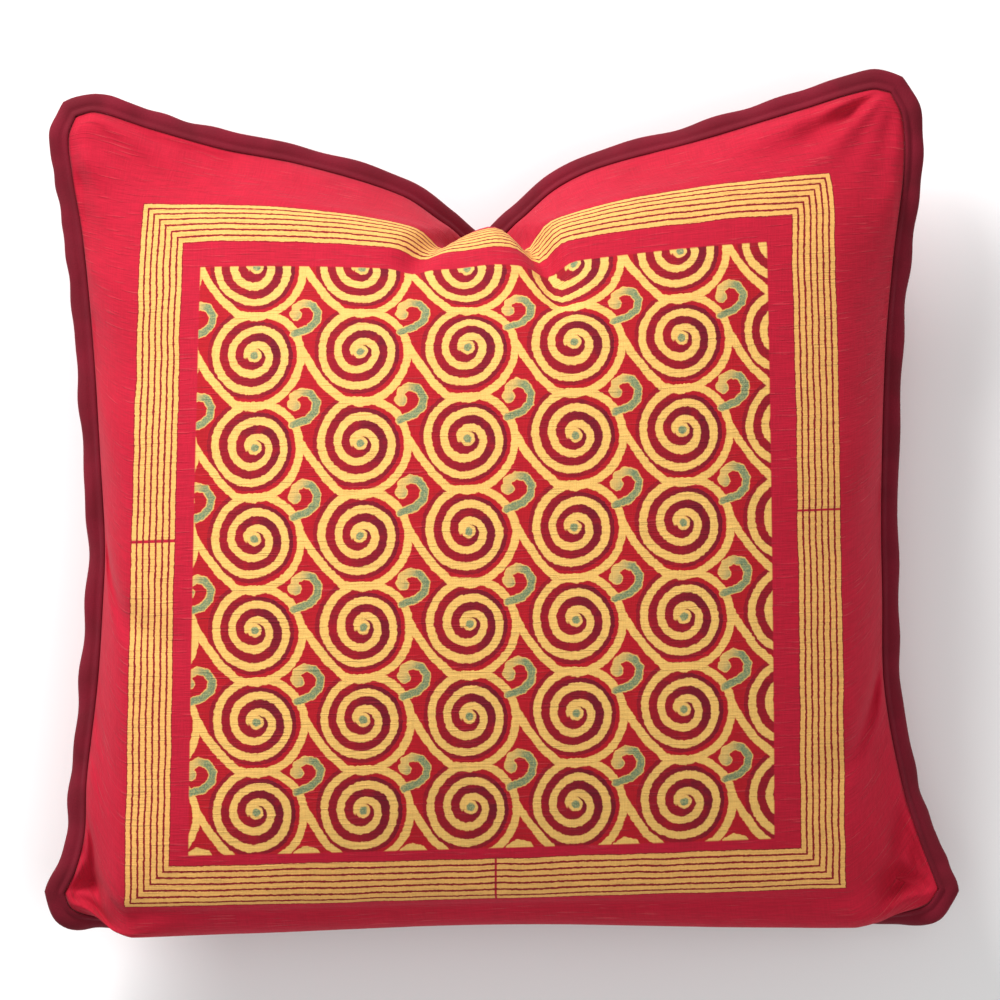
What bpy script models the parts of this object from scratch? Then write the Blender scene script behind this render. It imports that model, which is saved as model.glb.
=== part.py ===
"""Square scatter cushion with a narrow stitched flange, lying on its back.

Frame: +Z up, the printed face looks up, +Y is the edge with the dent pressed
into it, +X is that face's right-hand side. The back rests on z = 0.

One filled solid carries the front and back panels (they meet in a sewn edge),
and one ring is the flange, a strip of doubled cloth held in that seam.
"""
import math

import bmesh
import bpy
import numpy as np

MM = 0.001

# ---------------------------------------------------------------- main sizes
PANEL_HALF = 214.0        # half of a panel, seam to seam, laid flat
PRINT_HALF = 0.80         # outer edge of the printed border, as a share of it
CROWN_FRONT = 80.0        # how far the filled face stands above its seam
CROWN_BACK = 80.0         # the same for the back, before the floor flattens it
CROWN_POWER = 0.70        # shape of the crown: lower is boxier
FLOOR_BLEND = 9.0         # height over which the back turns up off the floor
FLANGE_WIDTH = 10.0       # seam to fold
FLANGE_THICK = 3.6        # doubled cloth over its turned-in allowance
FLANGE_ROOT = 1.5         # thickness where it enters the seam
SEAM_GAP = 0.45           # clearance between flange and panels
GRID = 40                 # faces across a panel

# Where the border's corners lie, seen square on to the face: x, y in mm
PRINT_CORNER = {
    "top_left": (-171.5, 143.5),
    "top_right": (159.5, 159.0),
    "bottom_right": (165.5, -187.0),
    "bottom_left": (-180.0, -196.5),
}
FACE_CENTRE = (-5.5, -29.0)

# The sewn edge, one row for each bend or dent of it, clockwise from top left.
# columns: x, y and z of the seam, and flange tilt in degrees (0 lies flat out
# from the seam, 90 is turned straight back towards the floor)
TOP_EDGE = (
    # x,      y,     z,   tilt
    (-203.5, 184.0, 63.0, 18.0),   # rounded corner
    (-194.0, 186.0, 63.0, 20.0),
    (-168.0, 178.0, 62.0, 22.0),
    (-132.0, 168.0, 61.0, 24.0),
    (-96.0, 161.0, 60.0, 26.0),
    (-48.0, 146.5, 56.0, 34.0),
    (-27.0, 133.0, 49.0, 38.0),
    (-8.5, 121.0, 42.0, 42.0),     # bottom of the pressed dent
    (9.0, 134.0, 48.0, 38.0),
    (27.0, 149.5, 54.0, 42.0),
    (48.0, 159.5, 58.0, 36.0),
    (96.0, 172.5, 61.0, 30.0),
    (144.0, 187.0, 62.5, 24.0),
    (178.0, 197.0, 63.0, 18.0),
    (187.5, 195.5, 63.0, 16.0),    # rounded corner
)
RIGHT_EDGE = (
    (187.5, 195.5, 63.0, 16.0),
    (193.0, 184.0, 63.0, 20.0),
    (194.0, 160.0, 62.0, 26.0),
    (189.0, 118.0, 61.0, 30.0),
    (185.0, 71.0, 60.0, 33.0),
    (183.0, 0.0, 60.0, 34.0),
    (183.5, -47.0, 60.0, 34.0),
    (184.5, -90.0, 60.0, 36.0),    # soft dent above the lower corner
    (193.5, -138.0, 59.0, 34.0),
    (203.5, -168.5, 56.0, 28.0),
    (211.0, -187.0, 53.0, 12.0),   # tip of the flattened corner
)
BOTTOM_EDGE = (
    (211.0, -187.0, 53.0, 12.0),
    (205.0, -195.0, 50.0, 22.0),
    (190.0, -199.0, 46.0, 58.0),
    (168.0, -200.5, 43.0, 72.0),
    (120.0, -199.0, 41.0, 76.0),
    (0.0, -194.0, 40.0, 76.0),     # the long side it has stood on
    (-120.0, -199.5, 41.0, 76.0),
    (-172.0, -202.0, 43.0, 72.0),
    (-194.0, -200.5, 46.0, 56.0),
    (-206.0, -197.0, 50.0, 20.0),
    (-209.5, -189.0, 53.0, 12.0),  # tip of the flattened corner
)
LEFT_EDGE = (
    (-209.5, -189.0, 53.0, 12.0),
    (-204.0, -178.0, 56.0, 26.0),
    (-199.5, -160.0, 58.0, 34.0),
    (-198.5, -135.0, 59.0, 32.0),
    (-193.0, -87.0, 60.0, 30.0),
    (-190.5, -48.0, 60.0, 30.0),
    (-189.5, -22.0, 60.0, 32.0),   # small dent
    (-191.5, 15.0, 60.0, 30.0),
    (-195.0, 71.0, 60.0, 28.0),
    (-200.0, 124.0, 61.0, 26.0),
    (-205.5, 158.0, 62.0, 22.0),
    (-207.0, 174.0, 63.0, 18.0),
    (-203.5, 184.0, 63.0, 18.0),
)

# Soft troughs (negative depth) and ridges in the face. Each runs from one
# point to another in panel coordinates (-1 to 1 each way) and fades out.
# columns: from u, from v, to u, to v, half width, depth in mm
FACE_FOLDS = (
    (-0.02, 0.98, -0.14, 0.70, 0.045, -9.0),    # left side of the dent
    (0.02, 0.98, 0.17, 0.62, 0.045, -12.0),     # right side of the dent
    (0.01, 0.86, 0.02, 0.72, 0.060, 5.0),       # roll between the two
    (-0.98, -0.06, -0.72, -0.20, 0.045, -6.0),  # dent in the left side
    (0.98, -0.42, 0.80, -0.52, 0.045, -6.0),    # dent in the right side
    (-0.96, -0.80, -0.86, -0.96, 0.035, -6.0),  # crease across a lower corner
    (0.96, -0.80, 0.84, -0.97, 0.035, -6.0),    # crease across the other
)


# ------------------------------------------------------------ shape functions
def smooth_step(t):
    t = np.clip(t, 0.0, 1.0)
    return t * t * (3.0 - 2.0 * t)


def through(rows, count):
    """A smooth curve through the rows, cut at `count` shares of its length."""
    p = np.array(rows, float)
    chord = np.concatenate([[0.0], np.cumsum(np.linalg.norm(np.diff(p[:, :3], axis=0), axis=1))])
    slope = np.zeros_like(p)
    slope[1:-1] = (p[2:] - p[:-2]) / (chord[2:] - chord[:-2])[:, None]
    slope[0] = (p[1] - p[0]) / (chord[1] - chord[0])
    slope[-1] = (p[-1] - p[-2]) / (chord[-1] - chord[-2])
    at = np.linspace(0.0, chord[-1], 1200)
    k = np.clip(np.searchsorted(chord, at, side="right") - 1, 0, len(p) - 2)
    h = (chord[k + 1] - chord[k])[:, None]
    t = (at[:, None] - chord[k][:, None]) / h
    fine = ((2 * t**3 - 3 * t**2 + 1) * p[k] + (t**3 - 2 * t**2 + t) * h * slope[k]
            + (3 * t**2 - 2 * t**3) * p[k + 1] + (t**3 - t**2) * h * slope[k + 1])
    run = np.concatenate([[0.0], np.cumsum(np.linalg.norm(np.diff(fine[:, :3], axis=0), axis=1))])
    want = np.asarray(count) * run[-1]
    return np.stack([np.interp(want, run, fine[:, j]) for j in range(4)], axis=1)


def stations(n):
    """Panel coordinates from -1 to 1, closer together towards the seam."""
    t = np.linspace(-1.0, 1.0, n + 1)
    return 0.5 * t + 0.5 * np.sin(0.5 * math.pi * t)


def seam_edges(line):
    """The four sides of the seam at the given panel coordinates."""
    share = (line + 1.0) / 2.0
    return {
        "top": through(TOP_EDGE, share),                 # left to right
        "right": through(RIGHT_EDGE, share)[::-1],       # bottom to top
        "bottom": through(BOTTOM_EDGE, share)[::-1],     # left to right
        "left": through(LEFT_EDGE, share),               # bottom to top
    }


def crown(u, v):
    return (np.clip(1 - u * u, 0, 1) * np.clip(1 - v * v, 0, 1)) ** CROWN_POWER


def frame_quad(u, v):
    """Plan position of a panel point if the print lay as a plain quadrilateral."""
    c = np.array(FACE_CENTRE)
    tl, tr, br, bl = (np.array(PRINT_CORNER[k]) - c for k in ("top_left", "top_right", "bottom_right", "bottom_left"))
    s, t = (u / PRINT_HALF)[..., None], (v / PRINT_HALF)[..., None]
    lin_x = (tr + br - tl - bl) / 4.0
    lin_y = (tl + tr - bl - br) / 4.0
    mix = (tr + bl - tl - br) / 4.0
    mean = (tl + tr + br + bl) / 4.0
    return c + mean + s * lin_x + t * lin_y + s * t * mix


def panel(line, front):
    """Points of the front or back panel on the grid of those coordinates."""
    u, v = np.meshgrid(line, line, indexing="xy")        # rows run up the panel
    edges = seam_edges(line)
    top, bottom, left, right = (edges[k] for k in ("top", "bottom", "left", "right"))
    quad = frame_quad(u, v)
    # how much of each side's difference from the plain quad reaches a point
    reach = lambda a: smooth_step((a - 0.70) / 0.30) ** 1.35
    # the dent reaches further in, and less steeply on the back
    start, power = (0.62, 1.75) if front else (0.40, 1.25)
    pinch = lambda a: np.clip((a - start) / (1 - start), 0, 1) ** power
    corner = {(i, j): (edge[k][:2] - frame_quad(np.array(float(i)), np.array(float(j))))
              for (i, j, edge, k) in ((-1, 1, top, 0), (1, 1, top, -1), (-1, -1, bottom, 0), (1, -1, bottom, -1))}
    row = lambda a, b: (1 - (line[:, None] + 1) / 2) * a + (line[:, None] + 1) / 2 * b
    gap_top = top[:, :2] - frame_quad(line, np.ones_like(line))
    gap_bottom = bottom[:, :2] - frame_quad(line, -np.ones_like(line))
    gap_left = left[:, :2] - frame_quad(-np.ones_like(line), line)
    gap_right = right[:, :2] - frame_quad(np.ones_like(line), line)
    dent = np.exp(-((line + 0.02) / 0.30) ** 2)[:, None]
    steady = row(corner[(-1, 1)], corner[(1, 1)])
    flow = steady + (gap_top - steady) * (1 - dent)
    push = (gap_top - steady) * dent
    wt, wb, wl, wr = reach(v)[..., None], reach(-v)[..., None], reach(-u)[..., None], reach(u)[..., None]
    plan = quad + wt * flow[None, :, :] + pinch(v)[..., None] * push[None, :, :]
    plan = plan + wb * gap_bottom[None, :, :] + wl * gap_left[:, None, :] + wr * gap_right[:, None, :]
    for (i, j), g in corner.items():
        plan = plan - (wt if j > 0 else wb) * (wr if i > 0 else wl) * g
    # seam height carried inwards, so that the crown starts level with it
    near = lambda a: smooth_step((a + 1) / 2)
    su, sv = near(u), near(v)
    z = (1 - su) * left[:, 2][:, None] + su * right[:, 2][:, None]
    zz = (1 - sv) * bottom[:, 2][None, :] + sv * top[:, 2][None, :]
    corners = ((1 - su) * (1 - sv) * bottom[0, 2] + su * (1 - sv) * bottom[-1, 2]
               + (1 - su) * sv * top[0, 2] + su * sv * top[-1, 2])
    edge = np.maximum(np.abs(u), np.abs(v))
    level = z + zz - corners
    level = 60.0 + (level - 60.0) * edge ** 3
    if front:
        z = level + CROWN_FRONT * crown(u, v) + folds(u, v)
    else:
        raw = level - CROWN_BACK * crown(u, v)
        e = FLOOR_BLEND
        z = np.where(raw > e, raw, np.where(raw < -e, 0.0, (raw + e) ** 2 / (4 * e)))
        # the side it stood on: the back leaves room for the flange pressed over it
        tuck = smooth_step((-v - 0.80) / 0.17) * smooth_step((1 + v) / 0.012 + 0.35)
        tuck = tuck * smooth_step((0.97 - np.abs(u)) / 0.16)
        plan[..., 1] += 9.0 * tuck
    return np.concatenate([plan, z[..., None]], axis=2)


def folds(u, v):
    """Height of the soft troughs and ridges, nothing at the seam itself."""
    total = np.zeros_like(u)
    for u0, v0, u1, v1, half, depth in FACE_FOLDS:
        du, dv = u1 - u0, v1 - v0
        t = np.clip(((u - u0) * du + (v - v0) * dv) / (du * du + dv * dv), 0, 1)
        off = np.hypot(u - u0 - t * du, v - v0 - t * dv)
        total += depth * np.exp(-(off / half) ** 2) * (1 - 0.75 * t)
    return total * np.clip((1 - np.maximum(np.abs(u), np.abs(v))) / 0.06, 0, 1)


# ------------------------------------------------------------------- building
def material(name, rgb, rough):
    m = bpy.data.materials.new(name)
    m.use_nodes = True
    shader = m.node_tree.nodes["Principled BSDF"]
    shader.inputs["Base Color"].default_value = (*rgb, 1.0)
    shader.inputs["Roughness"].default_value = rough
    shader.inputs["Metallic"].default_value = 0.0
    return m


def finish_object(name, bm, mats):
    bmesh.ops.recalc_face_normals(bm, faces=bm.faces)
    me = bpy.data.meshes.new(name)
    bm.to_mesh(me)
    bm.free()
    for m in mats:
        me.materials.append(m)
    me.shade_smooth()
    ob = bpy.data.objects.new(name, me)
    bpy.context.scene.collection.objects.link(ob)
    return ob


def build_cushion():
    line = stations(GRID)
    n = GRID
    bm = bmesh.new()
    front = panel(line, True) * MM
    back = panel(line, False) * MM
    top_v, low_v = {}, {}
    for j in range(n + 1):
        for i in range(n + 1):
            top_v[i, j] = bm.verts.new(front[j, i])
            on_seam = i in (0, n) or j in (0, n)
            low_v[i, j] = top_v[i, j] if on_seam else bm.verts.new(back[j, i])
    for j in range(n):
        for i in range(n):
            ring = ((i, j), (i + 1, j), (i + 1, j + 1), (i, j + 1))
            bm.faces.new([top_v[k] for k in ring]).material_index = 0
            bm.faces.new([low_v[k] for k in reversed(ring)]).material_index = 1
    bmesh.ops.triangulate(bm, faces=bm.faces[:])
    return finish_object("cushion", bm, [
        material("printed_red_cotton", (0.55, 0.012, 0.020), 0.85),
        material("plain_red_cotton", (0.50, 0.010, 0.022), 0.85),
    ])


def seam_loop():
    """The closed seam, one station for each edge vertex of a panel, clockwise."""
    e = seam_edges(stations(GRID))
    return np.concatenate([e["top"][:-1], e["right"][::-1][:-1], e["bottom"][::-1][:-1], e["left"][:-1]])


def build_flange():
    loop = seam_loop()
    p = loop[:, :3]
    along = np.roll(p, -1, axis=0) - np.roll(p, 1, axis=0)
    along /= np.linalg.norm(along, axis=1)[:, None]
    # outwards in plan, smoothed so that the strip turns its corners evenly
    out = np.stack([-along[:, 1], along[:, 0], np.zeros(len(p))], axis=1)
    for _ in range(3):
        out = (np.roll(out, 1, axis=0) + 2 * out + np.roll(out, -1, axis=0)) / 4
    out /= np.linalg.norm(out, axis=1)[:, None]
    tilt = np.radians(loop[:, 3])[:, None]
    lie = out * np.cos(tilt) - np.array([0, 0, 1.0]) * np.sin(tilt)
    face = np.cross(along, lie)
    face /= np.linalg.norm(face, axis=1)[:, None]
    half_root, half_mid = FLANGE_ROOT / 2, FLANGE_THICK / 2
    # section of the strip: distance from the seam, height off its middle
    section = (
        (SEAM_GAP, half_root),
        (0.30 * FLANGE_WIDTH, 0.55 * half_mid),
        (0.65 * FLANGE_WIDTH, half_mid),
        (0.92 * FLANGE_WIDTH, 0.62 * half_mid),
        (FLANGE_WIDTH, 0.0),
        (0.92 * FLANGE_WIDTH, -0.62 * half_mid),
        (0.65 * FLANGE_WIDTH, -half_mid),
        (0.30 * FLANGE_WIDTH, -0.55 * half_mid),
        (SEAM_GAP, -half_root),
    )
    bm = bmesh.new()
    rings = [[bm.verts.new((p[k] + d * lie[k] + h * face[k]) * MM) for d, h in section] for k in range(len(p))]
    count = len(section)
    for k in range(len(rings)):
        a, b = rings[k], rings[(k + 1) % len(rings)]
        for s in range(count):
            bm.faces.new((a[s], a[(s + 1) % count], b[(s + 1) % count], b[s]))
    bmesh.ops.triangulate(bm, faces=bm.faces[:])
    return finish_object("flange", bm, [material("crimson_cotton", (0.30, 0.006, 0.022), 0.8)])


def main():
    for ob in list(bpy.data.objects):
        bpy.data.objects.remove(ob)
    build_cushion()
    build_flange()


main()
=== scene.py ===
"""Looks of a filled, flanged cushion cover: red cotton with a block-printed
field of running spirals inside a striped border, lying on its back."""
import math

import bpy
import numpy as np
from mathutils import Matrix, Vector


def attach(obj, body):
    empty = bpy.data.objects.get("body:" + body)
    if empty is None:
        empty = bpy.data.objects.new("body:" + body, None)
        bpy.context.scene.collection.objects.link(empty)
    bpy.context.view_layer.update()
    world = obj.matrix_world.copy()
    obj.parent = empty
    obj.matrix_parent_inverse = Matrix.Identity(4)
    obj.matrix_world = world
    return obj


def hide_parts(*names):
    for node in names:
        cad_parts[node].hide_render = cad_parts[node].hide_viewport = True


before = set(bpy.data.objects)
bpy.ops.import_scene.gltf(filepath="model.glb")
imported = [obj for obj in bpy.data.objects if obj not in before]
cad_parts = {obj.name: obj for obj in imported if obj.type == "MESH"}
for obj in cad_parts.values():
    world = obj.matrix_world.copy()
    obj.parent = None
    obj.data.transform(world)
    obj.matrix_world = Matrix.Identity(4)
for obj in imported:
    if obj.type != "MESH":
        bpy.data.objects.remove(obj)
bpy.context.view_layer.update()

MM = 0.001
FINE = 150                # faces across a panel
FLANGE_STEPS = 200        # stations along each side of the flange

# ---------------------------------------------------------------- main sizes
PANEL_HALF = 214.0        # half of a panel, seam to seam, laid flat
PRINT_HALF = 0.80         # outer edge of the printed border, as a share of it
CROWN_FRONT = 80.0        # how far the filled face stands above its seam
CROWN_BACK = 80.0         # the same for the back, before the floor flattens it
CROWN_POWER = 0.70        # shape of the crown: lower is boxier
FLOOR_BLEND = 9.0         # height over which the back turns up off the floor
FLANGE_WIDTH = 10.0       # seam to fold
FLANGE_THICK = 3.6        # doubled cloth over its turned-in allowance
FLANGE_ROOT = 1.5         # thickness where it enters the seam
SEAM_GAP = 0.45           # clearance between flange and panels

# Where the border's corners lie, seen square on to the face: x, y in mm
PRINT_CORNER = {
    "top_left": (-171.5, 143.5),
    "top_right": (159.5, 159.0),
    "bottom_right": (165.5, -187.0),
    "bottom_left": (-180.0, -196.5),
}
FACE_CENTRE = (-5.5, -29.0)

# The sewn edge, one row for each bend or dent of it, clockwise from top left.
# columns: x, y and z of the seam, and flange tilt in degrees (0 lies flat out
# from the seam, 90 is turned straight back towards the floor)
TOP_EDGE = (
    # x,      y,     z,   tilt
    (-203.5, 184.0, 63.0, 18.0),   # rounded corner
    (-194.0, 186.0, 63.0, 20.0),
    (-168.0, 178.0, 62.0, 22.0),
    (-132.0, 168.0, 61.0, 24.0),
    (-96.0, 161.0, 60.0, 26.0),
    (-48.0, 146.5, 56.0, 34.0),
    (-27.0, 133.0, 49.0, 38.0),
    (-8.5, 121.0, 42.0, 42.0),     # bottom of the pressed dent
    (9.0, 134.0, 48.0, 38.0),
    (27.0, 149.5, 54.0, 42.0),
    (48.0, 159.5, 58.0, 36.0),
    (96.0, 172.5, 61.0, 30.0),
    (144.0, 187.0, 62.5, 24.0),
    (178.0, 197.0, 63.0, 18.0),
    (187.5, 195.5, 63.0, 16.0),    # rounded corner
)
RIGHT_EDGE = (
    (187.5, 195.5, 63.0, 16.0),
    (193.0, 184.0, 63.0, 20.0),
    (194.0, 160.0, 62.0, 26.0),
    (189.0, 118.0, 61.0, 30.0),
    (185.0, 71.0, 60.0, 33.0),
    (183.0, 0.0, 60.0, 34.0),
    (183.5, -47.0, 60.0, 34.0),
    (184.5, -90.0, 60.0, 36.0),    # soft dent above the lower corner
    (193.5, -138.0, 59.0, 34.0),
    (203.5, -168.5, 56.0, 28.0),
    (211.0, -187.0, 53.0, 12.0),   # tip of the flattened corner
)
BOTTOM_EDGE = (
    (211.0, -187.0, 53.0, 12.0),
    (205.0, -195.0, 50.0, 22.0),
    (190.0, -199.0, 46.0, 58.0),
    (168.0, -200.5, 43.0, 72.0),
    (120.0, -199.0, 41.0, 76.0),
    (0.0, -194.0, 40.0, 76.0),     # the long side it has stood on
    (-120.0, -199.5, 41.0, 76.0),
    (-172.0, -202.0, 43.0, 72.0),
    (-194.0, -200.5, 46.0, 56.0),
    (-206.0, -197.0, 50.0, 20.0),
    (-209.5, -189.0, 53.0, 12.0),  # tip of the flattened corner
)
LEFT_EDGE = (
    (-209.5, -189.0, 53.0, 12.0),
    (-204.0, -178.0, 56.0, 26.0),
    (-199.5, -160.0, 58.0, 34.0),
    (-198.5, -135.0, 59.0, 32.0),
    (-193.0, -87.0, 60.0, 30.0),
    (-190.5, -48.0, 60.0, 30.0),
    (-189.5, -22.0, 60.0, 32.0),   # small dent
    (-191.5, 15.0, 60.0, 30.0),
    (-195.0, 71.0, 60.0, 28.0),
    (-200.0, 124.0, 61.0, 26.0),
    (-205.5, 158.0, 62.0, 22.0),
    (-207.0, 174.0, 63.0, 18.0),
    (-203.5, 184.0, 63.0, 18.0),
)

# Soft troughs (negative depth) and ridges in the face. Each runs from one
# point to another in panel coordinates (-1 to 1 each way) and fades out.
# columns: from u, from v, to u, to v, half width, depth in mm
FACE_FOLDS = (
    (-0.03, 0.98, -0.17, 0.66, 0.034, -15.0),    # left side of the dent
    (0.03, 0.98, 0.17, 0.55, 0.034, -19.0),     # right side of the dent
    (0.00, 0.90, 0.01, 0.66, 0.060, 9.0),       # roll between the two
    (-0.98, -0.06, -0.72, -0.20, 0.038, -9.0),  # dent in the left side
    (0.98, -0.42, 0.80, -0.52, 0.038, -9.0),    # dent in the right side
    (-0.96, -0.80, -0.86, -0.96, 0.035, -6.0),  # crease across a lower corner
    (0.96, -0.80, 0.84, -0.97, 0.035, -6.0),    # crease across the other
)


# ------------------------------------------------------------ shape functions
def smooth_step(t):
    t = np.clip(t, 0.0, 1.0)
    return t * t * (3.0 - 2.0 * t)


def through(rows, count):
    """A smooth curve through the rows, cut at `count` shares of its length."""
    p = np.array(rows, float)
    chord = np.concatenate([[0.0], np.cumsum(np.linalg.norm(np.diff(p[:, :3], axis=0), axis=1))])
    slope = np.zeros_like(p)
    slope[1:-1] = (p[2:] - p[:-2]) / (chord[2:] - chord[:-2])[:, None]
    slope[0] = (p[1] - p[0]) / (chord[1] - chord[0])
    slope[-1] = (p[-1] - p[-2]) / (chord[-1] - chord[-2])
    at = np.linspace(0.0, chord[-1], 1200)
    k = np.clip(np.searchsorted(chord, at, side="right") - 1, 0, len(p) - 2)
    h = (chord[k + 1] - chord[k])[:, None]
    t = (at[:, None] - chord[k][:, None]) / h
    fine = ((2 * t**3 - 3 * t**2 + 1) * p[k] + (t**3 - 2 * t**2 + t) * h * slope[k]
            + (3 * t**2 - 2 * t**3) * p[k + 1] + (t**3 - t**2) * h * slope[k + 1])
    run = np.concatenate([[0.0], np.cumsum(np.linalg.norm(np.diff(fine[:, :3], axis=0), axis=1))])
    want = np.asarray(count) * run[-1]
    return np.stack([np.interp(want, run, fine[:, j]) for j in range(4)], axis=1)


def stations(n):
    """Panel coordinates from -1 to 1, closer together towards the seam."""
    t = np.linspace(-1.0, 1.0, n + 1)
    return 0.5 * t + 0.5 * np.sin(0.5 * math.pi * t)


def seam_edges(line):
    """The four sides of the seam at the given panel coordinates."""
    share = (line + 1.0) / 2.0
    return {
        "top": through(TOP_EDGE, share),                 # left to right
        "right": through(RIGHT_EDGE, share)[::-1],       # bottom to top
        "bottom": through(BOTTOM_EDGE, share)[::-1],     # left to right
        "left": through(LEFT_EDGE, share),               # bottom to top
    }


def crown(u, v):
    return (np.clip(1 - u * u, 0, 1) * np.clip(1 - v * v, 0, 1)) ** CROWN_POWER


def frame_quad(u, v):
    """Plan position of a panel point if the print lay as a plain quadrilateral."""
    c = np.array(FACE_CENTRE)
    tl, tr, br, bl = (np.array(PRINT_CORNER[k]) - c for k in ("top_left", "top_right", "bottom_right", "bottom_left"))
    s, t = (u / PRINT_HALF)[..., None], (v / PRINT_HALF)[..., None]
    lin_x = (tr + br - tl - bl) / 4.0
    lin_y = (tl + tr - bl - br) / 4.0
    mix = (tr + bl - tl - br) / 4.0
    mean = (tl + tr + br + bl) / 4.0
    return c + mean + s * lin_x + t * lin_y + s * t * mix


def panel(line, front):
    """Points of the front or back panel on the grid of those coordinates."""
    u, v = np.meshgrid(line, line, indexing="xy")        # rows run up the panel
    edges = seam_edges(line)
    top, bottom, left, right = (edges[k] for k in ("top", "bottom", "left", "right"))
    quad = frame_quad(u, v)
    # how much of each side's difference from the plain quad reaches a point
    reach = lambda a: smooth_step((a - 0.70) / 0.30) ** 1.35
    # the dent reaches further in, and less steeply on the back
    start, power = (0.62, 1.75) if front else (0.40, 1.25)
    pinch = lambda a: np.clip((a - start) / (1 - start), 0, 1) ** power
    corner = {(i, j): (edge[k][:2] - frame_quad(np.array(float(i)), np.array(float(j))))
              for (i, j, edge, k) in ((-1, 1, top, 0), (1, 1, top, -1), (-1, -1, bottom, 0), (1, -1, bottom, -1))}
    row = lambda a, b: (1 - (line[:, None] + 1) / 2) * a + (line[:, None] + 1) / 2 * b
    gap_top = top[:, :2] - frame_quad(line, np.ones_like(line))
    gap_bottom = bottom[:, :2] - frame_quad(line, -np.ones_like(line))
    gap_left = left[:, :2] - frame_quad(-np.ones_like(line), line)
    gap_right = right[:, :2] - frame_quad(np.ones_like(line), line)
    dent = np.exp(-((line + 0.02) / 0.30) ** 2)[:, None]
    steady = row(corner[(-1, 1)], corner[(1, 1)])
    flow = steady + (gap_top - steady) * (1 - dent)
    push = (gap_top - steady) * dent
    late = np.clip((-v - 0.78) / 0.22, 0, 1) ** 1.3          # the foot stays flat longer
    side = (lambda a: np.clip((a - 0.80) / 0.20, 0, 1) ** 1.3) if front else reach
    wt, wb, wl, wr = reach(v)[..., None], (late if front else reach(-v))[..., None], side(-u)[..., None], side(u)[..., None]
    plan = quad + wt * flow[None, :, :] + pinch(v)[..., None] * push[None, :, :]
    plan = plan + wb * gap_bottom[None, :, :] + wl * gap_left[:, None, :] + wr * gap_right[:, None, :]
    for (i, j), g in corner.items():
        plan = plan - (wt if j > 0 else wb) * (wr if i > 0 else wl) * g
    # seam height carried inwards, so that the crown starts level with it
    near = lambda a: smooth_step((a + 1) / 2)
    su, sv = near(u), near(v)
    z = (1 - su) * left[:, 2][:, None] + su * right[:, 2][:, None]
    zz = (1 - sv) * bottom[:, 2][None, :] + sv * top[:, 2][None, :]
    corners = ((1 - su) * (1 - sv) * bottom[0, 2] + su * (1 - sv) * bottom[-1, 2]
               + (1 - su) * sv * top[0, 2] + su * sv * top[-1, 2])
    edge = np.maximum(np.abs(u), np.abs(v))
    level = z + zz - corners
    level = 60.0 + (level - 60.0) * edge ** 3
    if front:
        z = level + CROWN_FRONT * crown(u, v) + folds(u, v)
    else:
        raw = level - CROWN_BACK * crown(u, v)
        e = FLOOR_BLEND
        z = np.where(raw > e, raw, np.where(raw < -e, 0.0, (raw + e) ** 2 / (4 * e)))
        # the side it stood on: the back leaves room for the flange pressed over it
        tuck = smooth_step((-v - 0.80) / 0.17) * smooth_step((1 + v) / 0.012 + 0.35)
        tuck = tuck * smooth_step((0.97 - np.abs(u)) / 0.16)
        plan[..., 1] += 9.0 * tuck
    return np.concatenate([plan, z[..., None]], axis=2)


def folds(u, v):
    """Height of the soft troughs and ridges, nothing at the seam itself."""
    total = np.zeros_like(u)
    for u0, v0, u1, v1, half, depth in FACE_FOLDS:
        du, dv = u1 - u0, v1 - v0
        t = np.clip(((u - u0) * du + (v - v0) * dv) / (du * du + dv * dv), 0, 1)
        off = np.hypot(u - u0 - t * du, v - v0 - t * dv)
        total += depth * np.exp(-(off / half) ** 2) * (1 - 0.75 * t)
    return total * np.clip((1 - np.maximum(np.abs(u), np.abs(v))) / 0.06, 0, 1)


# ------------------------------------------------ wrinkles finer than the CAD
rng = np.random.default_rng(7)


def wander(t, low, high, waves, seed):
    """A smooth irregular curve along t, about -1 to 1."""
    r = np.random.default_rng(seed)
    total = np.zeros_like(t)
    for _ in range(waves):
        total += r.uniform(0.5, 1.0) * np.sin(r.uniform(low, high) * t + r.uniform(0, 2 * math.pi))
    return total / math.sqrt(waves)


def wrinkles(u, v):
    """Height in mm of puckers along the seam, soft dents and drag lines."""
    near = np.clip(1 - np.maximum(np.abs(u), np.abs(v)), 0, 1)
    rise = np.clip(near / 0.02, 0, 1)
    total = np.zeros_like(u)
    for across, along, seed in ((v, u, 1), (-v, u, 2), (u, v, 3), (-u, v, 4)):
        depth = np.clip(1 - across, 0, 2)
        lean = along * (1 + 0.25 * depth)
        short = np.exp(-(depth / 0.055) ** 1.2) * wander(lean, 28, 75, 6, seed)
        long = np.exp(-(depth / 0.17) ** 1.6) * wander(lean, 9, 24, 5, seed + 10)
        total += rise * (1.0 * short + 1.7 * long)
    for cu, cv, seed in ((-1, 1, 21), (1, 1, 22), (1, -1, 23), (-1, -1, 24)):
        du, dv = cu - u, cv - v
        far = np.hypot(du, dv)
        turn = np.arctan2(dv * cv, du * cu)
        total += 2.2 * rise * np.clip((far - 0.02) / 0.10, 0, 1) * np.exp(-(far / 0.30) ** 2) * wander(turn, 7, 15, 4, seed)
    total += 1.3 * rise * wander(u + 0.5 * v, 3, 7, 4, 31) * wander(v - 0.4 * u, 3, 7, 4, 32)
    return total


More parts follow.
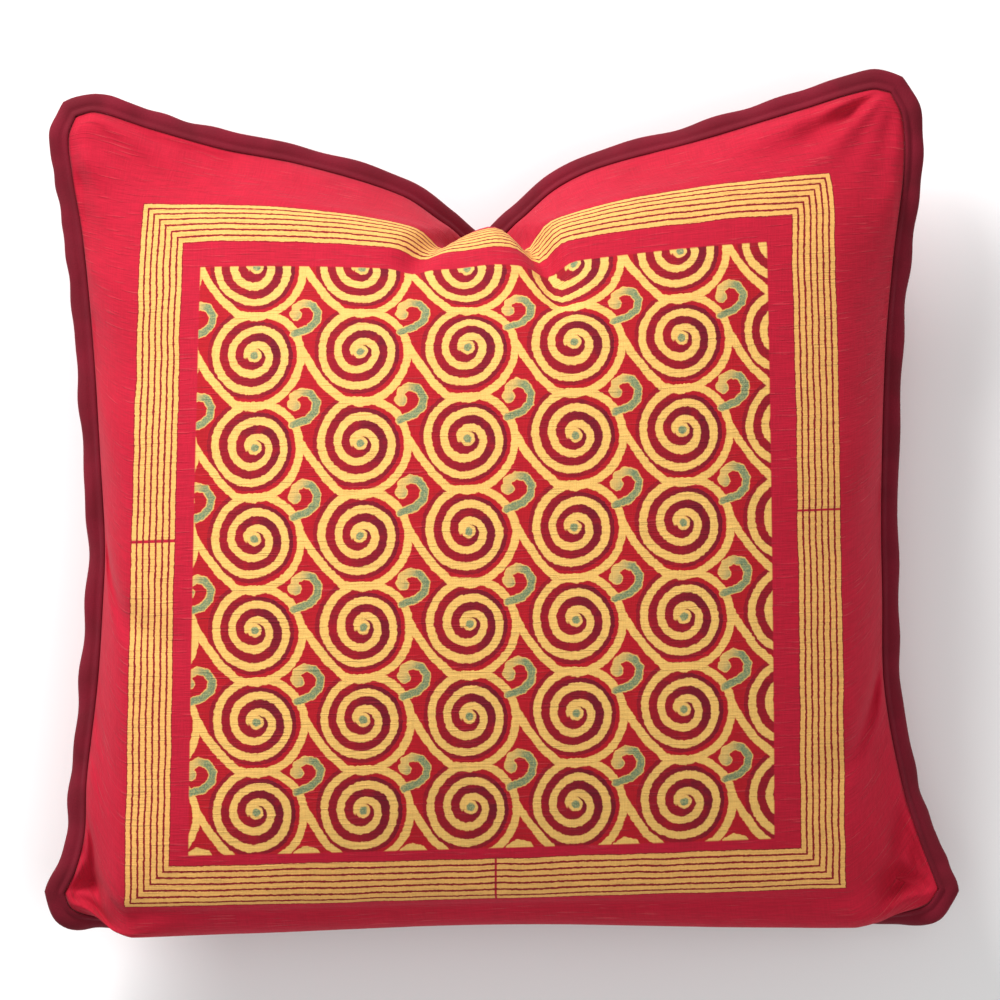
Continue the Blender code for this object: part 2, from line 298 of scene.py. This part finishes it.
def build_cover():
    line = stations(FINE)
    n = FINE
    u, v = np.meshgrid(line, line, indexing="xy")
    front, back = panel(line, True), panel(line, False)
    front[..., 2] += 1.4 * wrinkles(u, v)
    # the dent drags the cloth above the print down with it, and each trough
    # swings the printed lines that cross it
    front[..., 1] -= 8.0 * np.exp(-(u / 0.42) ** 2) * smooth_step((v - 0.40) / 0.30) * smooth_step((1 - v) / 0.15)
    front[..., 1] += 0.85 * folds(u, v) * smooth_step((v - 0.45) / 0.15)
    # along the foot the filled face rolls over its own seam and hides the strip
    roll = np.sin(math.pi * np.clip((-v - 0.84) / 0.16, 0, 1)) ** 0.8 * smooth_step((0.95 - np.abs(u)) / 0.10)
    front[..., 1] -= 8.5 * roll
    # folded ears: a sharp tuck runs in from each lower corner
    for side in (-1, 1):
        line_off = (u * side - 0.94) * 0.80 + (v + 0.90) * 0.60
        span = np.exp(-(((u * side - 0.94) * 0.60 - (v + 0.90) * 0.80) / 0.085) ** 2)
        front[..., 2] -= 9.0 * span * np.exp(-(line_off / 0.020) ** 2) * np.clip((1 - np.maximum(np.abs(u), np.abs(v))) / 0.03, 0, 1)
    off_floor = np.clip(back[..., 2] / 12.0, 0, 1)
    back[..., 2] = np.maximum(back[..., 2] - 0.7 * off_floor * wrinkles(-u, v), 0.0)
    count = (n + 1) ** 2
    index = np.arange(count).reshape(n + 1, n + 1)
    inner = np.zeros_like(index, bool)
    inner[1:-1, 1:-1] = True
    low = index.copy()
    low[inner] = count + np.arange(inner.sum())
    points = np.concatenate([front.reshape(-1, 3), back[inner]]) * MM
    quad = lambda g: np.stack([g[:-1, :-1], g[:-1, 1:], g[1:, 1:], g[1:, :-1]], axis=-1).reshape(-1, 4)
    faces = np.concatenate([quad(index), quad(low)[:, ::-1]])
    me = bpy.data.meshes.new("cushion_cover")
    me.from_pydata(points.tolist(), [], faces.tolist())
    cell = np.stack([u, v], axis=-1)
    flat = np.concatenate([cell.reshape(-1, 2)[quad(index)], cell.reshape(-1, 2)[quad(index)[:, ::-1]]])
    half = np.repeat([0.0, 0.5], n * n)[:, None]
    uv = np.stack([(flat[..., 0] + 1) / 4 * 0.98 + 0.005 + half, (flat[..., 1] + 1) / 2 * 0.98 + 0.01], axis=-1)
    layer = me.uv_layers.new(name="OFBake")
    layer.data.foreach_set("uv", uv.reshape(-1).astype(np.float32))
    me.polygons.foreach_set("material_index", np.repeat([0, 1], n * n).astype(np.int32))
    me.shade_smooth()
    me.update()
    ob = bpy.data.objects.new("cushion_cover", me)
    bpy.context.scene.collection.objects.link(ob)
    return ob


def build_strip():
    """The flange: doubled cloth, a soft fold outside, a stitched dip inside."""
    share = np.linspace(-1, 1, FLANGE_STEPS + 1)
    e = seam_edges(stations(FLANGE_STEPS))
    loop = np.concatenate([e["top"][:-1], e["right"][::-1][:-1], e["bottom"][::-1][:-1], e["left"][:-1]])
    p = loop[:, :3]
    along = np.roll(p, -1, axis=0) - np.roll(p, 1, axis=0)
    along /= np.linalg.norm(along, axis=1)[:, None]
    out = np.stack([-along[:, 1], along[:, 0], np.zeros(len(p))], axis=1)
    for _ in range(18):
        out = (np.roll(out, 1, axis=0) + 2 * out + np.roll(out, -1, axis=0)) / 4
    out /= np.linalg.norm(out, axis=1)[:, None]
    where = np.linspace(0, 2 * math.pi, len(p), endpoint=False)
    sway = wander(np.cos(where) * 3 + where * 0, 9, 22, 5, 51) + wander(np.sin(where) * 3, 9, 22, 5, 52)
    tilt = np.radians(loop[:, 3] + 5.0 * sway)[:, None]
    lie = out * np.cos(tilt) - np.array([0, 0, 1.0]) * np.sin(tilt)
    face = np.cross(along, lie)
    face /= np.linalg.norm(face, axis=1)[:, None]
    width = FLANGE_WIDTH * (1 + 0.05 * wander(np.sin(where) * 4, 10, 26, 4, 53))[:, None]
    hr, hm = FLANGE_ROOT / 2, FLANGE_THICK / 2
    upper = ((0.004, 1.2 * hr), (0.14, 0.66 * hm), (0.27, 0.34 * hm), (0.33, 0.30 * hm), (0.40, 0.62 * hm),
             (0.55, 0.92 * hm), (0.72, hm), (0.86, 0.86 * hm), (0.95, 0.55 * hm), (0.99, 0.22 * hm))
    section = upper + tuple((d, -h) for d, h in reversed(upper))
    rings = np.stack([p + d * width * lie + h * face for d, h in section], axis=1) * MM
    m, k = rings.shape[:2]
    idx = np.arange(m * k).reshape(m, k)
    nxt = np.roll(idx, -1, axis=0)
    faces = np.stack([idx, np.roll(idx, -1, axis=1), np.roll(nxt, -1, axis=1), nxt], axis=-1).reshape(-1, 4)
    me = bpy.data.meshes.new("flange_strip")
    me.from_pydata(rings.reshape(-1, 3).tolist(), [], faces[:, ::-1].tolist())
    a, b = np.meshgrid(np.arange(m), np.arange(k), indexing="ij")
    corner = np.stack([np.stack([a, b], -1), np.stack([a, b + 1], -1), np.stack([a + 1, b + 1], -1), np.stack([a + 1, b], -1)], axis=2)
    # the long strip is laid out as eight rows, so that each keeps some height
    rows = 8
    per = m / rows
    corner = corner[:, :, ::-1]
    row = np.floor(a / per)[:, :, None]
    uv = np.stack([(corner[..., 0] - row * per) / per * 0.96 + 0.02, (row + 0.05 + 0.9 * corner[..., 1] / k) / rows], axis=-1)
    layer = me.uv_layers.new(name="OFBake")
    layer.data.foreach_set("uv", uv.reshape(-1).astype(np.float32))
    me.shade_smooth()
    me.update()
    ob = bpy.data.objects.new("flange_strip", me)
    bpy.context.scene.collection.objects.link(ob)
    return ob


# ------------------------------------------------------------------ materials
class Nodes:
    """Short names for the few kinds of node that a printed cloth needs."""

    def __init__(self, name):
        self.mat = bpy.data.materials.new(name)
        self.mat.use_nodes = True
        self.tree = self.mat.node_tree
        self.shader = self.tree.nodes["Principled BSDF"]

    def put(self, socket, value):
        if isinstance(value, bpy.types.NodeSocket):
            self.tree.links.new(value, socket)
        elif isinstance(value, tuple) and len(value) == 3 and len(socket.default_value) == 4:
            socket.default_value = (*value, 1.0)
        else:
            socket.default_value = value

    def f(self, op, *values):
        node = self.tree.nodes.new("ShaderNodeMath")
        node.operation = op
        for socket, value in zip(node.inputs, values):
            self.put(socket, value)
        return node.outputs[0]

    def ramp(self, value, low, high, a=0.0, b=1.0):
        node = self.tree.nodes.new("ShaderNodeMapRange")
        node.interpolation_type = "SMOOTHSTEP"
        for key, item in (("Value", value), ("From Min", low), ("From Max", high), ("To Min", a), ("To Max", b)):
            self.put(node.inputs[key], item)
        return node.outputs["Result"]

    def below(self, value, limit, soft):
        return self.ramp(value, limit - soft, limit + soft, 1.0, 0.0)

    def above(self, value, limit, soft):
        return self.ramp(value, limit - soft, limit + soft, 0.0, 1.0)

    def vec(self, x, y, z=0.0):
        node = self.tree.nodes.new("ShaderNodeCombineXYZ")
        for socket, value in zip(node.inputs, (x, y, z)):
            self.put(socket, value)
        return node.outputs[0]

    def noise(self, vector, scale, detail=2.0, rough=0.5, colour=False):
        node = self.tree.nodes.new("ShaderNodeTexNoise")
        self.put(node.inputs["Vector"], vector)
        node.inputs["Scale"].default_value = scale
        node.inputs["Detail"].default_value = detail
        node.inputs["Roughness"].default_value = rough
        return node.outputs["Color" if colour else "Fac"]

    def split(self, vector):
        node = self.tree.nodes.new("ShaderNodeSeparateXYZ")
        self.put(node.inputs[0], vector)
        return node.outputs

    def mix(self, factor, a, b):
        node = self.tree.nodes.new("ShaderNodeMix")
        node.data_type = "RGBA"
        self.put(node.inputs[0], factor)
        self.put(node.inputs[6], a)
        self.put(node.inputs[7], b)
        return node.outputs[2]

    def most(self, *values):
        best = values[0]
        for value in values[1:]:
            best = self.f("MAXIMUM", best, value)
        return best

    def least(self, *values):
        best = values[0]
        for value in values[1:]:
            best = self.f("MINIMUM", best, value)
        return best

    def times(self, *values):
        total = values[0]
        for value in values[1:]:
            total = self.f("MULTIPLY", total, value)
        return total

    def cell(self, x, y, pitch_x, pitch_y, mid_x, mid_y):
        """Repeat the plane so that one copy spans the cell about mid."""
        hx, hy = pitch_x / 2, pitch_y / 2
        wx = self.f("WRAP", self.f("SUBTRACT", x, mid_x), hx, -hx)
        wy = self.f("WRAP", self.f("SUBTRACT", y, mid_y), hy, -hy)
        return self.f("ADD", wx, mid_x), self.f("ADD", wy, mid_y)

    def along(self, x, y, points):
        """Distance from a line through the points."""
        best = None
        for (ax, ay), (bx, by) in zip(points, points[1:]):
            dx, dy = bx - ax, by - ay
            size = dx * dx + dy * dy
            px, py = self.f("SUBTRACT", x, ax), self.f("SUBTRACT", y, ay)
            dot = self.f("MULTIPLY_ADD", px, dx / size, self.f("MULTIPLY", py, dy / size))
            h = self.f("MAXIMUM", self.f("MINIMUM", dot, 1.0), 0.0)
            qx = self.f("MULTIPLY_ADD", h, -dx, px)
            qy = self.f("MULTIPLY_ADD", h, -dy, py)
            d = self.f("SQRT", self.f("MULTIPLY_ADD", qx, qx, self.f("MULTIPLY", qy, qy)))
            best = d if best is None else self.f("MINIMUM", best, d)
        return best

    def polar(self, x, y):
        r = self.f("SQRT", self.f("MULTIPLY_ADD", x, x, self.f("MULTIPLY", y, y)))
        turn = self.f("FRACT", self.f("MULTIPLY", self.f("ARCTAN2", y, x), -0.5 / math.pi))
        return r, turn

    def bump(self, height, distance, strength=1.0, after=None):
        node = self.tree.nodes.new("ShaderNodeBump")
        node.inputs["Distance"].default_value = distance
        node.inputs["Strength"].default_value = strength
        self.put(node.inputs["Height"], height)
        if after is not None:
            self.put(node.inputs["Normal"], after)
        return node.outputs[0]


def flat_mm(n, shift):
    """Cloth coordinates from the UV map: panel shares and millimetres."""
    uvs = n.tree.nodes.new("ShaderNodeUVMap")
    uvs.uv_map = "OFBake"
    s = n.split(uvs.outputs[0])
    u = n.f("MULTIPLY_ADD", s[0], 4 / 0.98, -(0.005 + shift) * 4 / 0.98 - 1)
    v = n.f("MULTIPLY_ADD", s[1], 2 / 0.98, -0.01 * 2 / 0.98 - 1)
    return u, v, n.f("MULTIPLY", u, 211.4), n.f("MULTIPLY", v, 214.4)


def weave(n, x, y):
    """Height of a slubby plain weave: threads across, threads up, thick spots."""
    across = n.noise(n.vec(n.f("MULTIPLY", x, 0.10), n.f("MULTIPLY", y, 1.35)), 1.0, 1.0)
    up = n.noise(n.vec(n.f("MULTIPLY", x, 1.35), n.f("MULTIPLY", y, 0.10), 7.0), 1.0, 1.0)
    slub = n.noise(n.vec(n.f("MULTIPLY", x, 0.045), n.f("MULTIPLY", y, 0.85), 3.0), 1.0, 2.0)
    total = n.f("MULTIPLY_ADD", across, 0.9, n.f("MULTIPLY", up, 0.6))
    return n.f("ADD", total, n.above(slub, 0.64, 0.07)), slub, across, up


RED = (0.455, 0.0045, 0.026)
FIELD_RED = (0.40, 0.004, 0.011)
MAROON = (0.13, 0.002, 0.012)
BORDER_YELLOW = (0.78, 0.42, 0.115)
FIELD_YELLOW = (0.78, 0.47, 0.125)
GREEN = (0.075, 0.17, 0.105)

# the repeat, in mm on the cloth: spiral centres, their pitch, and the line
START_X, START_Y, PITCH_X, PITCH_Y = -111.2, 93.2, 51.05, 43.7
FIRST_RADIUS, PER_TURN, LINE_HALF = 6.9, 7.8, 1.85
LINK = ((-28.6, 2.0), (-23.6, -6.4), (-16.8, -15.6), (-9.0, -23.0), (0.5, -24.8))
CURL = ((-5.4, -9.0), (1.6, -6.6), (5.4, -3.0), (6.2, 1.6), (3.4, 5.8), (-1.0, 6.9), (-4.8, 4.8), (-5.2, 1.0))


def cloth_finish(n, colour, height, bump_mm):
    n.put(n.shader.inputs["Base Color"], colour)
    n.shader.inputs["Roughness"].default_value = 0.82
    n.shader.inputs["Sheen Weight"].default_value = 0.07
    n.shader.inputs["Sheen Roughness"].default_value = 0.5
    n.shader.inputs["Sheen Tint"].default_value = (1.0, 0.45, 0.5, 1.0)
    n.shader.inputs["Specular IOR Level"].default_value = 0.25
    n.put(n.shader.inputs["Normal"], n.bump(height, bump_mm * MM))
    return n.mat


def printed_material():
    n = Nodes("printed_red_cotton")
    u, v, x, y = flat_mm(n, 0.0)
    height, slub, across, up = weave(n, x, y)
    # the print's own unevenness: slow drift of the block, ragged edges
    slow = n.split(n.noise(n.vec(x, y, 11.0), 0.045, 1.0, colour=True))
    ragged = n.split(n.noise(n.vec(x, y, 5.0), 0.55, 2.0, colour=True))
    shake = lambda c, i: n.f("ADD", c, n.f("ADD", n.f("MULTIPLY_ADD", slow[i], 2.4, -1.2), n.f("MULTIPLY_ADD", ragged[i], 1.3, -0.65)))
    px, py = shake(x, 0), shake(y, 1)
    # the block was set down a little to the right towards the lower left
    creep = n.times(n.ramp(y, -124.0, 93.0, 1.0, 0.0), n.ramp(x, -111.0, 93.0, 4.3, 0.0))
    rx, ry = n.f("SUBTRACT", n.f("SUBTRACT", px, START_X), creep), n.f("SUBTRACT", py, START_Y)

    # spiral, right round to its outer turn
    sx, sy = n.cell(rx, ry, PITCH_X, PITCH_Y, 0.0, 0.0)
    r, turn = n.polar(sx, sy)
    s = n.f("SUBTRACT", n.f("MULTIPLY_ADD", r, 1 / PER_TURN, -FIRST_RADIUS / PER_TURN), turn)
    k = n.f("ROUND", s)
    off = n.f("MULTIPLY", n.f("ABSOLUTE", n.f("SUBTRACT", s, k)), PER_TURN)
    turns = n.f("ADD", turn, k)
    spiral = n.times(n.below(off, LINE_HALF, 0.28), n.below(turns, 2.03, 0.02), n.above(turns, -0.55, 0.03))
    eye = n.below(r, 3.3, 0.3)
    # the outer turn goes on under the spiral, then up to the one on its left
    cx, cy = n.cell(rx, ry, PITCH_X, PITCH_Y, 12.0, -13.0)
    cr, cturn = n.polar(cx, cy)
    coff = n.f("ABSOLUTE", n.f("SUBTRACT", n.f("SUBTRACT", cr, FIRST_RADIUS + 2 * PER_TURN), n.f("MULTIPLY", cturn, PER_TURN)))
    cup = n.times(n.below(coff, LINE_HALF, 0.28), n.below(cturn, 0.265, 0.004))
    lx, ly = n.cell(rx, ry, PITCH_X, PITCH_Y, -13.5, -11.5)
    link = n.below(n.along(lx, ly, LINK), LINE_HALF, 0.28)
    # small curl between each four spirals
    gx, gy = n.cell(n.f("SUBTRACT", rx, 24.3), n.f("SUBTRACT", ry, 18.8), PITCH_X, PITCH_Y, 0.0, 0.0)
    goff = n.least(n.along(gx, gy, CURL), n.f("SUBTRACT", n.along(gx, gy, ((-5.2, 1.0), (-4.6, 0.4))), 0.8))
    curl = n.below(goff, 2.05, 0.28)
    curl_green = n.below(goff, 1.65, 0.35)

    field = n.times(n.above(u, -0.656, 0.002), n.below(u, 0.640, 0.002), n.above(v, -0.676, 0.002), n.below(v, 0.642, 0.002))
    yellow = n.times(n.most(spiral, eye, cup, link, curl), field)
    dot = n.below(r, 1.9, 0.4)
    curl_green = n.times(curl_green, n.ramp(n.f("SUBTRACT", gx, n.f("MULTIPLY", gy, 0.5)), -7.0, 0.5, 0.25, 1.0))
    green = n.times(n.most(curl_green, dot), field, n.above(v, -0.655, 0.004))

    # dark over-dye in the inner turns, patchy, and lighter on the left
    patch = n.noise(n.vec(x, y, 21.0), 0.16, 2.0)
    side = n.f("MULTIPLY_ADD", n.f("SINE", n.f("MULTIPLY_ADD", turn, -2 * math.pi, 0.35 * math.pi)), 0.24, 0.76)
    overdye = n.times(n.below(turns, 1.72, 0.14), n.above(r, 2.5, 0.5), n.ramp(patch, 0.25, 0.55, 0.55, 1.0), side, field)

    # striped border with mitred corners, seven stripes
    depth = n.f("MULTIPLY_ADD", n.f("MAXIMUM", n.f("ABSOLUTE", u), n.f("ABSOLUTE", v)), -212.0, 0.80 * 212.0)
    wob = n.f("ADD", depth, n.f("ADD", n.f("MULTIPLY_ADD", slow[0], 1.6, -0.8), n.f("MULTIPLY_ADD", ragged[1], 0.8, -0.4)))
    border = n.times(n.above(wob, 0.0, 0.2), n.below(wob, 21.6, 0.2))
    mid = n.f("ABSOLUTE", n.f("SUBTRACT", n.f("FRACT", n.f("MULTIPLY", wob, 7 / 21.6)), 0.5))
    stripe = n.below(n.f("ADD", mid, n.f("MULTIPLY_ADD", ragged[2], 0.14, -0.07)), 0.345, 0.05)
    # where one printing of the block meets the next
    gap_l = n.times(n.below(n.f("ABSOLUTE", n.f("SUBTRACT", v, 0.030)), 0.0035, 0.0012), n.below(u, -0.68, 0.01))
    gap_r = n.times(n.below(n.f("ABSOLUTE", n.f("SUBTRACT", v, 0.045)), 0.0025, 0.0012), n.above(u, 0.68, 0.01))
    gap_b = n.times(n.below(n.f("ABSOLUTE", n.f("SUBTRACT", u, 0.024)), 0.0025, 0.0012), n.below(v, -0.68, 0.01))
    joined = n.f("SUBTRACT", 1.0, n.most(gap_l, gap_r, gap_b))
    border_ink = n.times(border, stripe, joined)
    border_dark = n.times(border, n.f("SUBTRACT", 1.0, stripe))

    # how well the ink took, and faded or thick threads
    took = n.noise(n.vec(x, y, 31.0), 1.6, 3.0, 0.6)
    wide = n.noise(n.vec(x, y, 41.0), 0.03, 3.0)
    thread = n.ramp(n.f("ADD", across, n.f("MULTIPLY", up, 0.6)), 0.5, 1.1, 0.88, 1.08)
    ground = n.mix(n.most(field, 0.0), RED, FIELD_RED)
    ground = n.mix(n.ramp(wide, 0.35, 0.65, 0.0, 0.22), ground, (0.40, 0.003, 0.016))
    ground = n.mix(n.times(n.above(slub, 0.66, 0.05), 0.22), ground, (0.75, 0.10, 0.11))
    ground = n.mix(n.times(overdye, 0.92), ground, MAROON)
    ground = n.mix(n.times(border_dark, 0.8), ground, (0.17, 0.007, 0.008))
    ink = n.mix(field, BORDER_YELLOW, FIELD_YELLOW)
    ink = n.mix(n.ramp(took, 0.45, 0.70, 0.0, 0.30), ink, (0.72, 0.28, 0.07))
    colour = n.mix(n.f("MULTIPLY", n.most(yellow, border_ink), n.ramp(took, 0.66, 0.80, 1.0, 0.55)), ground, ink)
    leaf = n.mix(n.ramp(took, 0.40, 0.65, 0.0, 0.6), GREEN, (0.42, 0.40, 0.15))
    colour = n.mix(n.times(green, 0.9), colour, leaf)
    shade = n.tree.nodes.new("ShaderNodeHueSaturation")
    n.put(shade.inputs["Color"], colour)
    n.put(shade.inputs["Value"], thread)
    return cloth_finish(n, shade.outputs[0], height, 0.22)


def plain_material():
    n = Nodes("plain_red_cotton")
    u, v, x, y = flat_mm(n, 0.5)
    height, slub, across, up = weave(n, x, y)
    wide = n.noise(n.vec(x, y, 43.0), 0.03, 3.0)
    thread = n.ramp(n.f("ADD", across, n.f("MULTIPLY", up, 0.6)), 0.5, 1.1, 0.88, 1.08)
    ground = n.mix(n.ramp(wide, 0.35, 0.65, 0.0, 0.3), (0.44, 0.0045, 0.024), (0.32, 0.003, 0.017))
    ground = n.mix(n.times(n.above(slub, 0.66, 0.05), 0.22), ground, (0.70, 0.09, 0.11))
    shade = n.tree.nodes.new("ShaderNodeHueSaturation")
    n.put(shade.inputs["Color"], ground)
    n.put(shade.inputs["Value"], thread)
    return cloth_finish(n, shade.outputs[0], height, 0.22)


def strip_material():
    n = Nodes("crimson_cotton")
    where = n.tree.nodes.new("ShaderNodeTexCoord")
    s = n.split(where.outputs["Object"])
    x, y, z = (n.f("MULTIPLY", c, 1000.0) for c in s)
    fine = n.noise(n.vec(x, y, z), 1.5, 2.0)
    broad = n.noise(n.vec(x, y, z), 0.05, 2.0)
    # the strip's red is set far darker than the panels' own cloth: painted shade of the strip turned back under the
    # filled faces, with random tone from the two noises over it
    colour = n.mix(n.ramp(broad, 0.3, 0.7, 0.0, 0.6), (0.125, 0.0009, 0.009), (0.20, 0.002, 0.017))
    colour = n.mix(n.ramp(fine, 0.4, 0.75, 0.0, 0.35), colour, (0.10, 0.0008, 0.008))
    return cloth_finish(n, colour, fine, 0.18)


def plain_stage(name, rgb):
    n = Nodes(name)
    n.shader.inputs["Base Color"].default_value = (*rgb, 1.0)
    n.shader.inputs["Roughness"].default_value = 0.9
    return n.mat


# -------------------------------------------------------------------- putting
cover = build_cover()
cover.data.materials.append(printed_material())
cover.data.materials.append(plain_material())
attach(cover, "root")
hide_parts("cushion")

strip = build_strip()
strip.data.materials.append(strip_material())
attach(strip, "root")
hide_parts("flange")

bpy.ops.mesh.primitive_plane_add(size=12.0, location=(0, 0, -0.0004))
floor = bpy.context.object
floor.name = "floor"
floor.data.materials.append(plain_stage("pale_floor", (0.93, 0.93, 0.93)))


def area(name, where, size, power, colour=(1, 1, 1)):
    data = bpy.data.lights.new(name, "AREA")
    data.shape = "SQUARE"
    data.size = size
    data.energy = power
    data.color = colour
    ob = bpy.data.objects.new(name, data)
    ob.location = where
    toward = Vector((0, 0, 0.06)) - Vector(where)
    ob.rotation_euler = toward.to_track_quat("-Z", "Y").to_euler()
    bpy.context.scene.collection.objects.link(ob)


area("key", (-1.0, 1.5, 1.15), 0.9, 58.0)
area("fill", (0.7, -0.5, 2.3), 2.0, 20.0)
world = bpy.context.scene.world or bpy.data.worlds.new("studio")
bpy.context.scene.world = world
world.use_nodes = True
back = world.node_tree.nodes.get("Background")
back.inputs[0].default_value = (1, 1, 1, 1)
back.inputs[1].default_value = 0.42

cam_data = bpy.data.cameras.new("camera")
cam_data.lens = 300.0
cam_data.sensor_width = 36.0
cam_data.clip_end = 50.0
cam = bpy.data.objects.new("camera", cam_data)
cam.location = (0.0, 0.0, 4.06)
cam.rotation_euler = (0, 0, 0)
bpy.context.scene.collection.objects.link(cam)
bpy.context.scene.camera = cam
bpy.context.scene.view_settings.view_transform = "Standard"
